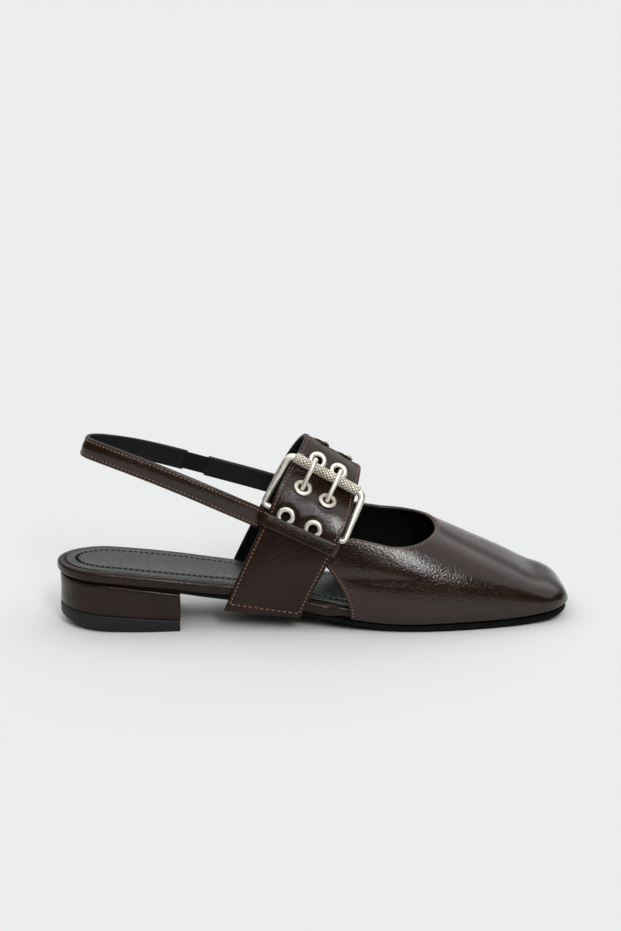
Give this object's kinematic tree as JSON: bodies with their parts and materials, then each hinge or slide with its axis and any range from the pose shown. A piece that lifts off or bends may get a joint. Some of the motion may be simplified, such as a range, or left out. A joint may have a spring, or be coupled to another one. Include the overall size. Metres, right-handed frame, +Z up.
{
  "type": "slingback buckle ballet flat",
  "caption": "Right-foot leather slingback flat with a soft square toe, open sides, a low block heel and a wide eyelet strap over the instep closed by a twin-prong buckle.",
  "frame": {"origin": "on the floor at the middle of the shoe's box in plan", "axes": "+X towards the toe, +Y towards the inner side of the foot, +Z up"},
  "size_m": [0.2497, 0.0759, 0.0923],
  "materials": {
    "leather_brown": "glossy dark brown",
    "lining_black": "smooth satin black",
    "sole_black": "matte black",
    "rubber_black": "matte black",
    "elastic_black": "woven black",
    "metal_nickel": "pale polished nickel"
  },
  "bodies": {
    "root": {"outsole": "sole_black", "footbed": "leather_brown", "insole": "lining_black", "heel_block": "leather_brown", "heel_lift": "rubber_black", "upper_vamp": "leather_brown", "strap_panel": "leather_brown", "instep_strap": "leather_brown", "strap_keeper": "leather_brown", "sling_strap": "leather_brown", "sling_elastic": "elastic_black", "sling_tab": "leather_brown", "buckle_frame": "metal_nickel", "prong_rear": "metal_nickel", "prong_front": "metal_nickel", "eyelet_1": "metal_nickel", "eyelet_2": "metal_nickel", "eyelet_3": "metal_nickel", "eyelet_4": "metal_nickel", "eyelet_5": "metal_nickel", "eyelet_6": "metal_nickel", "eyelet_7": "metal_nickel", "eyelet_8": "metal_nickel"}
  },
  "joints": []
}
